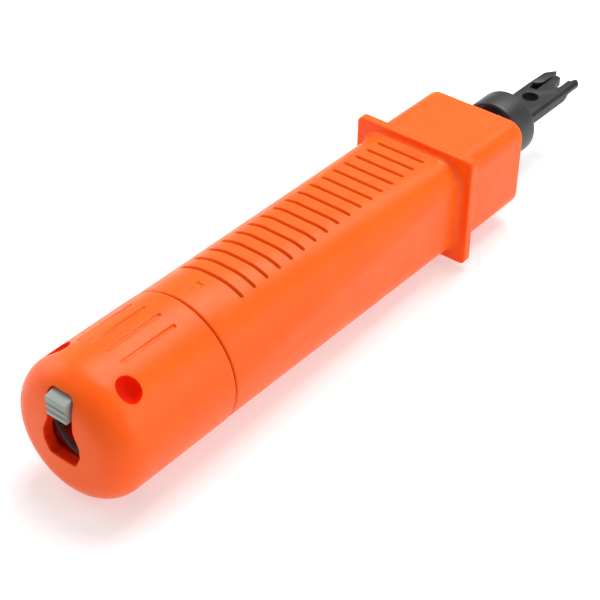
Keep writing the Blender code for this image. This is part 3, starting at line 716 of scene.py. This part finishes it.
def make_cap(material, recess):
    outer = dome_outline(-CAP_LENGTH, CAP_RADIUS, CAP_CORNER, 16, 26)
    stations = set(np.arange(-25.0, -0.9, 1.0))
    for end, side in zip(FLUTE_X, (1, -1)):
        stations |= {end + side * offset for offset in (-0.3, -0.16, -0.05, 0.06, 0.17, 0.3, 0.45, 0.7)}
    outer += [(x, CAP_RADIUS) for x in sorted(stations)]
    outer += round_edge(-SEAM_GAP, CAP_RADIUS, SEAM_EDGE, -1, -1)
    bore, inside = SPIGOT_RADIUS + 0.3, CAP_RADIUS - CAP_WALL
    track = bore + LUG_HEIGHT
    outer += [
        (-SEAM_GAP, CAP_RADIUS - SEAM_EDGE - 0.1),
        (-SEAM_GAP, bore),
        (LUG_X[1] + 0.3, bore),
        (LUG_X[1] + 0.3, track),
        (LUG_X[0] - 0.3, track),
        (LUG_X[0] - 0.3, bore),
        (-SPIGOT_LENGTH - 0.5, bore),
        (-SPIGOT_LENGTH - 0.5, inside),
    ]
    inner = dome_outline(-CAP_LENGTH + CAP_END_WALL, inside, CAP_CORNER - CAP_WALL, 6, 8)
    profile = outer + inner[::-1]
    cap = piece("cap_shell", *turned(profile, angles=cap_angles(), reshape=flutes), material, sharp=40)
    cutters = [slot_cutter()] + [grip_hole_cutter(angle) for angle in GRIP_HOLE_ANGLES]
    for centre in (CAP_TWIST, 180 + CAP_TWIST):
        ends = (centre - LUG_HALF_ANGLE - 3.3, centre + LUG_HALF_ANGLE + 3.3)
        cutters.append(sector(LUG_X[1] - 0.5, 1, bore - 0.5, track + 0.07, *ends))
    # Painted shade: the seam edge, and the walls cut for the slot, grip holes and lug entries, take a deeper
    # red for the shade in them
    shaded = CAP_RADIUS - CAP_PAINTED_SHADE_DEPTH
    paint(cap, recess, lambda x, y, z: x > -1 and math.hypot(y, z) < shaded)
    carve(cap, cutters, sharp=25, inside=recess)
    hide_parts("end_cap")
    fit(cap, "cap")


def slot_cutter():
    corners = list(SLOT_HALF) + [(-y, z, radius) for y, z, radius in reversed(SLOT_HALF)]
    outline = rounded(corners, 6, 0.5)
    return sunk(
        outline,
        lambda y, z: -dome_x(np.hypot(y, z)),
        -KNOB_FACE - SLOT_DEPTH,
        SLOT_RIM,
        lambda y, z, height: (-height, y, z),
    )


def grip_hole_cutter(angle):
    turn = math.radians(angle)
    outline = [(GRIP_HOLE_RADII[0] * a, GRIP_HOLE_RADII[1] * b) for a, b in circle((0, 0), 1, 56)]

    def place(along, across, height):
        y = height * math.cos(turn) - across * math.sin(turn)
        z = height * math.sin(turn) + across * math.cos(turn)
        return (GRIP_HOLE_X + along, y, z)

    return sunk(
        outline,
        lambda along, across: np.sqrt(CAP_RADIUS**2 - across**2),
        CAP_RADIUS - GRIP_HOLE_DEPTH,
        0.16,
        place,
        floor_edge=1.7,
    )


# Selector


def make_selector(material):
    low, high = KNOB_Z
    top_back = KNOB_FACE + 2.3
    face_top = KNOB_FACE_TOP
    face = [(KNOB_FACE + 4.2, low), (KNOB_FACE + 0.1, low)]
    ridge = face_top / 3 - low / 3
    for i in range(3):
        z = low + ridge * i
        face += [
            (KNOB_FACE, z + 0.22),
            (KNOB_FACE, z + ridge - 0.5),
            (KNOB_FACE + 0.32, z + ridge - 0.28),
            (KNOB_FACE + 0.32, z + ridge - 0.05),
        ]
    face = face[:-2]
    face += [(KNOB_FACE, face_top), (top_back, high - 0.2), (KNOB_FACE + 4.2, high)]
    knob = piece("selector_knob", *prism(face, "y", -KNOB_HALF_WIDTH, KNOB_HALF_WIDTH), material)
    bevel(knob, 0.16, 3, 25)
    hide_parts("selector_slider")
    fit(knob, "selector")
    neck = piece(
        "selector_neck",
        *box((KNOB_FACE + 3, -NECK_HALF_WIDTH, low + 0.2), (RAIL_BACK + 2, NECK_HALF_WIDTH, high - 1.5)),
        material,
    )
    shapes = [box((RAIL_BACK, -RAIL_Y[1], 6.6), (RAIL_BACK + 1.9, RAIL_Y[1], 9.0))]
    for side in (-1, 1):
        ends = sorted((side * RAIL_Y[0], side * RAIL_Y[1]))
        rail = [
            (RAIL_BACK + 0.2, RAIL_Z[0]),
            (WEDGE_FACE + WEDGE_SLOPE * RAIL_Z[0], RAIL_Z[0]),
            (WEDGE_FACE + WEDGE_SLOPE * RAIL_Z[1], RAIL_Z[1]),
            (RAIL_BACK + 0.2, RAIL_Z[1]),
        ]
        shapes.append(prism(rail, "y", *ends))
    carve(neck, shapes, "UNION")
    bevel(neck, 0.12, 2, 40)
    fit(neck, "selector")


def make_detent(material):
    """A C of steel strip in the cap's end, its arms reaching in beside the selector's neck."""
    inner, outer = DETENT_RADII
    middle, half = (inner + outer) / 2, (outer - inner) / 2
    path = [Vector((NECK_HALF_WIDTH + half + 0.3, 4.6)), Vector((4.6, 4.4)), Vector((6.6, 2.6))]
    for i in range(37):
        angle = math.radians(-90 * i / 36)
        path.append(Vector((middle * math.cos(angle), middle * math.sin(angle))))
    path += [Vector((-p.x, p.y)) for p in reversed(path[:-1])]
    left, right = [], []
    for i, here in enumerate(path):
        along = (path[min(i + 1, len(path) - 1)] - path[max(i - 1, 0)]).normalized()
        across = Vector((-along.y, along.x)) * half
        left.append(tuple(here + across))
        right.append(tuple(here - across))
    strip = piece("detent_strip", *prism(left + right[::-1], "x", *DETENT_X), material, sharp=40)
    bevel(strip, 0.2, 3, 45)
    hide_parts("detent_spring")
    fit(strip, "cap")


# Springs


def coil(start, end, mean_radius, wire, turns, centre=(0, 0), axis="x", part=(0.0, 1.0), steps=40, sides=12):
    """A compression spring with one closed turn at each end, or the part of it between two shares."""
    closed_pitch = wire * 1.12
    active = (end - start - wire - 2 * closed_pitch) / (turns - 2)
    rings = []
    count = round(turns * steps * (part[1] - part[0]))
    for i in range(count + 1):
        turn = turns * mix(*part, i / count)
        along = closed_pitch * min(turn, 1)
        along += active * min(max(turn - 1, 0), turns - 2)
        along += closed_pitch * max(turn - turns + 1, 0)
        angle = 2 * math.pi * turn
        ring = []
        for k in range(sides):
            around = 2 * math.pi * (k + 0.5) / sides
            radius = mean_radius + math.cos(around) * wire / 2
            x = start + wire / 2 + along + math.sin(around) * wire / 2
            a = centre[0] + radius * math.cos(angle)
            b = centre[1] + radius * math.sin(angle)
            ring.append((x, a, b) if axis == "x" else (a, x, b))
        rings.append(ring)
    return skin(rings)


def make_springs(material):
    half_way = (-15.7 + 43.7) / 2
    rear = piece("hammer_spring_rear", *coil(-15.7, 43.7, 7.9, 1.7, 12, part=(0, 0.5)), material)
    front = piece("hammer_spring_front", *coil(-15.7, 43.7, 7.9, 1.7, 12, part=(0.5, 1)), material)
    middle = to_row((half_way, 0, 0))
    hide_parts("hammer_spring")
    to_row((-15.7, 0, 0))
    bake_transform(rear)
    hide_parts("hammer_spring")
    fit(front, "cap")
    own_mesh(front)
    latch = piece("latch_coil", *coil(5.5, 8.8, 1.3, 0.3, 4.5, (72.0, 0), "y"), material)
    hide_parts("latch_spring")
    fit(latch, "striker")
    tuple(to_row((72, 8.8, 0)))
    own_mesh(latch)
    for name, node, sizes in (
        ("return_coil", "return_spring", (78.3, 85.7, 4.4, 0.9, 5)),
        ("blade_lock_coil", "blade_lock_spring", (90.6, 95.7, 2.4, 0.7, 4.5)),
    ):
        spring = piece(name, *coil(*sizes), material)
        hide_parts(node)
        fit(spring, "plunger")


# Socket, collar and blade


def make_chuck(material):
    profile = [(CHUCK_REAR, PIN_HOLE_RADIUS)]
    profile += round_edge(CHUCK_REAR, CHUCK_REAR_RADIUS, 0.3, 1, -1, 3, True)
    profile += [(CHUCK_SHOULDER[0], CHUCK_REAR_RADIUS)]
    profile += round_edge(CHUCK_SHOULDER[0], CHUCK_SHOULDER_RADIUS, 0.3, 1, -1, 3, True)
    profile += round_edge(CHUCK_SHOULDER[1], CHUCK_SHOULDER_RADIUS, 0.3, -1, -1, 3)
    profile += [(CHUCK_SHOULDER[1], CHUCK_RADIUS)]
    profile += [(x, CHUCK_RADIUS) for x in np.linspace(98, CHUCK_FRONT - 0.8, 10)]
    profile += round_edge(CHUCK_FRONT, CHUCK_RADIUS, 0.5, -1, -1)
    profile += round_edge(CHUCK_FRONT, CHUCK_BORE, 0.3, -1, 1, 3, True)
    profile += [(PIN_HOLE_END, CHUCK_BORE), (PIN_HOLE_END, PIN_HOLE_RADIUS)]
    chuck = piece("blade_socket", *turned(profile), material)
    reach = math.degrees(math.asin(BAYONET_HOLE_RADIUS / CHUCK_BORE)) + 1
    cuts = []
    for start in (0, 180):
        track = (BAYONET_X - BAYONET_HOLE_RADIUS, BAYONET_X + BAYONET_HOLE_RADIUS, CHUCK_BORE - 1, 8)
        cuts.append(sector(*track, start - reach, start + BLADE_TURN + reach))
    for start in (BLADE_TURN, 180 + BLADE_TURN):
        entry = (BAYONET_X, CHUCK_FRONT + 1, CHUCK_BORE - 1, 8)
        cuts.append(sector(*entry, start - reach + 1, start + reach - 1))
    carve(chuck, cuts)
    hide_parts("blade_chuck")
    fit(chuck, "plunger")


def blade_ring(x, extra=0.0):
    """The blade's section: a chamfer along one top edge, soft lower edges, and thinner prongs."""
    width, thick = BLADE_HALF_WIDTH + extra, BLADE_HALF_THICKNESS + extra
    under = PRONG_RISE * smooth_step((x - FORK_STEP[0]) / (FORK_STEP[1] - FORK_STEP[0])) - thick
    corners = [
        (width, thick, 0.25),
        (-width + 0.4, thick, 0.12),
        (-width - 0.3, thick - 0.65, 0.12),
        (-width - 0.3, under, 1.05),
        (width, under, 1.05),
    ]
    return [(x, y, z) for y, z in rounded(corners, 6)]


def shank_profile():
    profile = [(SHANK_REAR, 0)]
    profile += round_edge(SHANK_REAR, SHANK_RADIUS, 0.5, 1, -1, 4, True)
    return profile + [(BLADE_START + 0.2, SHANK_RADIUS), (BLADE_START + 0.2, 0)]


def make_blade(material, shade):
    stations = [BLADE_START, BLADE_START + 1, *np.linspace(*FORK_STEP, 9), BLADE_TIP]
    blade = piece("blade_bar", *skin([blade_ring(x) for x in stations]), material)
    fork = [
        (138.9, -2.2, 0.4),
        (139.4, -2.6, 0.3),
        (BLADE_TIP + 1, -2.6, 0),
        (BLADE_TIP + 1, -0.2, 0),
        (140.0, -0.45, 0.3),
        (139.1, -1.0, 0.4),
    ]
    ends = [
        (143.0, 6.0, 0),
        (143.0, 1.6, 0),
        (144.1, 0.95, 0),
        (143.6, -0.45, 0.1),
        (143.9, -2.3, 0.1),
        (143.8, -3.2, 0.15),
        (144.8, -3.4, 0.3),
        (145.6, -3.9, 0.5),
        (145.0, -5.0, 0.5),
        (143.8, -5.6, 0),
        (143.6, -6.0, 0),
        (BLADE_TIP + 1, -6.0, 0),
        (BLADE_TIP + 1, 6.0, 0),
    ]
    pocket = [
        (134.4, 3.1, 0.3),
        (134.7, 1.2, 0.3),
        (BLADE_TIP + 1, 1.2, 0),
        (BLADE_TIP + 1, 6.0, 0),
        (136.9, 6.0, 0),
        (136.9, 3.5, 0.2),
    ]
    hole = sunk(
        circle(BLADE_HOLE, BLADE_HOLE_RADIUS, 48),
        lambda x, y: np.full(len(x), BLADE_HALF_THICKNESS),
        -6,
        0.2,
        lambda x, y, height: (x, y, height),
    )
    cuts = [
        prism(rounded(fork), "z", -6, 6),
        prism(rounded(ends), "z", -7, 7),
        prism(rounded(pocket), "z", POCKET_FLOOR, 4),
    ]
    carve(blade, cuts, sharp=30)
    # Painted shade: the hole's walls take a darker black for the shade in the hole
    carve(blade, [hole], sharp=30, inside=shade)
    bevel(blade, 0.08, 2, 50, 35)
    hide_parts("blade_body")
    fit(blade, "blade")
    shank = piece("blade_shank", *turned(shank_profile(), 64), material)
    carve(shank, [rod((BAYONET_X, 0, 0), 0, BAYONET_HOLE_RADIUS, 8)])
    fit(shank, "blade")
    lump = piece("blade_lump", *turned(BLADE_LUMP_PROFILE, 16), material)
    lump.location = Vector((*BLADE_LUMP, BLADE_HALF_THICKNESS)) * MM
    fit(lump, "blade")


def make_cutter(material):
    outline = [
        (138.7, 1.75, 0.15),
        (144.1, 1.45, 0),
        (BLADE_TIP, 2.1, 0.08),
        (144.1, 3.45, 0.3),
        (143.0, 4.1, 0.3),
        (136.95, 4.3, 0.15),
        (136.95, 3.4, 0.2),
        (137.8, 2.4, 0.2),
    ]
    top = BLADE_HALF_THICKNESS + 0.2
    cutter = piece("cutter_knife", *prism(rounded(outline), "z", POCKET_FLOOR + 0.1, top), material)
    bevel(cutter, 0.1, 2, 50)
    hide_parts("blade_cutter")
    fit(cutter, "blade")


def make_collar(material):
    low, high = COLLAR_X
    profile = [(low, COLLAR_HOLE_RADIUS), (low, COLLAR_RADIUS - 0.75)]
    profile += round_edge(low, COLLAR_RADIUS, 0.6, 1, -1, 7, True)
    profile += round_edge(high, COLLAR_RADIUS, 0.8, -1, -1, 8)
    profile += [(high, COLLAR_RADIUS - 0.95), (high, COLLAR_HOLE_RADIUS)]
    collar = piece("twist_collar", *turned(profile, 128), material)
    carve(collar, [skin([blade_ring(BLADE_START - 0.3, 0.3), blade_ring(high + 1, 0.3)])])
    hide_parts("blade_collar")
    fit(collar, "blade")


def fit(obj, body):
    """Rides the piece on its body."""
    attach(obj, body)
    return obj


# Materials


def new_material(name, colour, roughness, metallic=0.0, **settings):
    material = bpy.data.materials.new(name)
    material.use_nodes = True
    shader = material.node_tree.nodes["Principled BSDF"]
    shader.inputs["Base Color"].default_value = (*colour, 1)
    shader.inputs["Roughness"].default_value = roughness
    shader.inputs["Metallic"].default_value = metallic
    for key, value in settings.items():
        shader.inputs[key.replace("_", " ")].default_value = value
    return material


def add_node(material, kind, settings=(), **links):
    """A shader node with its settings, and its inputs linked by name: a socket, or a value."""
    node = material.node_tree.nodes.new(kind)
    for key, value in dict(settings).items():
        setattr(node, key, value)
    for key, value in links.items():
        socket = node.inputs[int(key[1:])] if key[0] == "i" and key[1:].isdigit() else node.inputs[key]
        if isinstance(value, bpy.types.NodeSocket):
            material.node_tree.links.new(value, socket)
        else:
            socket.default_value = value
    return node


def noise(material, scale, detail=3.0, stretch=(1, 1, 1)):
    where = add_node(material, "ShaderNodeTexCoord").outputs["Object"]
    mapped = add_node(material, "ShaderNodeMapping", Vector=where, Scale=stretch)
    made = add_node(
        material, "ShaderNodeTexNoise", Vector=mapped.outputs[0], Scale=scale, Detail=detail, Roughness=0.55
    )
    return made.outputs["Fac"]


def ramp(material, value, low, high, start, end):
    """The value's stretch between start and end, mapped to low and high."""
    return add_node(
        material,
        "ShaderNodeMapRange",
        Value=value,
        i1=start,
        i2=end,
        i3=low,
        i4=high,
    ).outputs["Result"]


def tint(material, value, first, second):
    """A colour between two, by a value from 0 to 1, into the shader's base colour."""
    node = add_node(material, "ShaderNodeMix", {"data_type": "RGBA"}, Factor=value)
    node.inputs["A"].default_value = (*first, 1)
    node.inputs["B"].default_value = (*second, 1)
    shader = material.node_tree.nodes["Principled BSDF"]
    material.node_tree.links.new(node.outputs["Result"], shader.inputs["Base Color"])


def set_input(material, name, value):
    shader = material.node_tree.nodes["Principled BSDF"]
    material.node_tree.links.new(value, shader.inputs[name])


def bump(material, *layers):
    """Bumps the shader by several (height, distance in mm, strength) layers."""
    normal = None
    for height, distance, strength in layers:
        links = {"Height": height, "Distance": distance * MM, "Strength": strength}
        if normal:
            links["Normal"] = normal
        normal = add_node(material, "ShaderNodeBump", **links).outputs["Normal"]
    set_input(material, "Normal", normal)


def plastic(name, light, dark, roughness, grain, **settings):
    """Moulded plastic: a slow drift of colour, a fine moulding grain and uneven gloss."""
    material = new_material(name, light, roughness, **settings)
    slow = noise(material, 55, 2.0)
    tint(material, ramp(material, slow, 0, 1, 0.35, 0.65), light, dark)
    fine = noise(material, 1500, 4.0)
    patches = noise(material, 260, 3.0)
    set_input(material, "Roughness", ramp(material, patches, roughness - 0.05, roughness + 0.06, 0.3, 0.7))
    bump(material, (fine, grain, 0.55), (patches, grain * 1.5, 0.3))
    return material


def metal(name, light, dark, roughness, stretch=(1, 1, 1), scale=900, depth=0.004, **settings):
    """Metal with tool marks: noise stretched along or round the axis."""
    material = new_material(name, light, roughness, 1.0, **settings)
    marks = noise(material, scale, 4.0, stretch)
    slow = noise(material, 180, 3.0)
    tint(material, ramp(material, slow, 0, 1, 0.3, 0.7), light, dark)
    set_input(material, "Roughness", ramp(material, marks, roughness - 0.08, roughness + 0.1, 0.3, 0.7))
    bump(material, (marks, depth, 0.5))
    return material


def make_materials():
    made = {
        "orange_plastic": plastic(
            "OrangePlastic",
            (0.96, 0.116, 0.005),
            (0.93, 0.105, 0.004),
            0.36,
            0.012,
            Specular_IOR_Level=0.19,
            Subsurface_Weight=0.5,
            Subsurface_Radius=(1.0, 0.12, 0.05),
            Subsurface_Scale=0.0022,
        ),
        # Painted shade: a deeper red standing in for the shade in the cap's slot, grip holes and seam
        "orange_painted_recess_shade": plastic(
            "OrangePaintedRecessShade",
            (0.90, 0.032, 0.002),
            (0.84, 0.027, 0.002),
            0.5,
            0.012,
            Specular_IOR_Level=0.1,
        ),
        # Painted shade: a darker brown-orange standing in for the shade in the grooves, the pointer and the
        # seam
        "orange_painted_shade": plastic(
            "OrangePaintedShade", (0.62, 0.160, 0.010), (0.58, 0.146, 0.008), 0.5, 0.012, Specular_IOR_Level=0.1
        ),
        "grey_plastic": plastic("GreyPlastic", (0.31, 0.335, 0.31), (0.27, 0.295, 0.27), 0.5, 0.012),
        "black_plastic": plastic("BlackPlastic", (0.018, 0.019, 0.020), (0.013, 0.014, 0.015), 0.38, 0.01),
        # Painted shade: a darker black standing in for the shade inside the blade's hole
        "black_painted_hole_shade": plastic(
            "BlackPaintedHoleShade", (0.010, 0.010, 0.011), (0.007, 0.007, 0.008), 0.6, 0.01, Specular_IOR_Level=0.2
        ),
        "black_steel": metal(
            "BlackSteel", (0.062, 0.063, 0.065), (0.046, 0.047, 0.049), 0.46, (1, 6, 6), 400
        ),
        "bright_steel": metal("BrightSteel", (0.60, 0.60, 0.60), (0.50, 0.50, 0.51), 0.26, (14, 1, 1), 300),
        # Partly painted light: the strip is steel, but its tone is raised above the other steels so that it
        # reads lit inside the dark cap
        "strip_steel_painted_light": metal("StripSteelPaintedLight", (0.86, 0.86, 0.88), (0.74, 0.74, 0.76), 0.48, (1, 1, 1), 500),
        "spring_steel": metal("SpringSteel", (0.36, 0.37, 0.38), (0.28, 0.29, 0.30), 0.32, (1, 1, 1), 700),
        "bronze": metal(
            "SinteredBronze", (0.45, 0.29, 0.12), (0.37, 0.23, 0.09), 0.42, (1, 1, 1), 1400, 0.01
        ),
        "rubber": plastic("BlackRubber", (0.020, 0.020, 0.020), (0.028, 0.027, 0.026), 0.85, 0.03),
    }
    return made


def dress_nodes(materials):
    """Gives each CAD node that still shows the finish of its slot."""
    for entry in frame["record"]["subparts"]:
        node, slot = frame["nodes"][entry["node"]], entry["material_slot"]
        if not node.hide_render:
            node.data.materials.clear()
            node.data.materials.append(materials[slot])


# Stage, lights and camera

FLOOR_REACH = 2.5
FLOOR_GLOW = 0.42
WORLD_STRENGTH = 0.48
LIGHT_AIM = (0, 0, 0.015)
# Name, place, size and power
SOFTBOXES = (
    ("right_box", (0.3, -0.9, 0.35), (0.7, 0.6), 3.6),
    ("left_box", (-0.1, 0.9, 0.4), (0.7, 0.6), 3.6),
    ("top_box", (0.4, 0.1, 0.95), (0.7, 0.7), 11.3),
)


def make_floor():
    material = bpy.data.materials.new("WhiteFloor")
    material.use_nodes = True
    shader = material.node_tree.nodes["Principled BSDF"]
    shader.inputs["Roughness"].default_value = 0.9
    shader.inputs["Specular IOR Level"].default_value = 0.1
    shader.inputs["Emission Color"].default_value = (1, 1, 1, 1)
    shader.inputs["Emission Strength"].default_value = FLOOR_GLOW
    drift = ramp(material, noise(material, 6, 2.0), 0, 1, 0.3, 0.7)
    tint(material, drift, (0.62, 0.62, 0.62), (0.6, 0.6, 0.6))
    mesh = bpy.data.meshes.new("floor")
    reach = FLOOR_REACH
    corners = [(-reach, -reach, 0), (reach, -reach, 0), (reach, reach, 0), (-reach, reach, 0)]
    mesh.from_pydata(corners, [], [(0, 1, 2, 3)])
    mesh.materials.append(material)
    floor = bpy.data.objects.new("floor", mesh)
    bpy.context.scene.collection.objects.link(floor)
    floor.location.z = -0.1 * MM


def area_light(name, place, aim, size, power):
    light = bpy.data.lights.new(name, "AREA")
    light.shape = "RECTANGLE"
    light.size, light.size_y = size
    light.energy = power
    obj = bpy.data.objects.new(name, light)
    obj.location = place
    obj.rotation_euler = (Vector(aim) - Vector(place)).to_track_quat("-Z", "Y").to_euler()
    bpy.context.scene.collection.objects.link(obj)


def make_lights():
    world = bpy.data.worlds.new("Studio")
    world.use_nodes = True
    background = world.node_tree.nodes["Background"]
    background.inputs["Color"].default_value = (1, 1, 1, 1)
    background.inputs["Strength"].default_value = WORLD_STRENGTH
    bpy.context.scene.world = world
    for name, place, size, power in SOFTBOXES:
        area_light(name, place, LIGHT_AIM, size, power)


def make_camera():
    camera = bpy.data.cameras.new("Camera")
    camera.lens = CAMERA_LENS
    camera.sensor_width = 36
    camera.clip_start = 0.01
    obj = bpy.data.objects.new("Camera", camera)
    place, aim = (Vector(to_row(point)) for point in (CAMERA_PLACE, CAMERA_AIM))
    turn = (aim - place).to_track_quat("-Z", "Y").to_matrix()
    roll = Euler((0, 0, math.radians(CAMERA_ROLL))).to_matrix()
    obj.matrix_world = Matrix.Translation(place) @ (turn @ roll).to_4x4()
    bpy.context.scene.collection.objects.link(obj)
    bpy.context.scene.camera = obj


def main():
    make_camera()
    make_lights()
    make_floor()
    bpy.context.scene.view_settings.view_transform = "Standard"
    materials = make_materials()
    make_handle(materials["orange_plastic"], materials["orange_painted_shade"])
    make_cap(materials["orange_plastic"], materials["orange_painted_recess_shade"])
    make_selector(materials["grey_plastic"])
    make_detent(materials["strip_steel_painted_light"])
    make_springs(materials["spring_steel"])
    make_chuck(materials["bright_steel"])
    make_collar(materials["black_plastic"])
    make_blade(materials["black_steel"], materials["black_painted_hole_shade"])
    make_cutter(materials["black_steel"])
    dress_nodes(materials)


main()
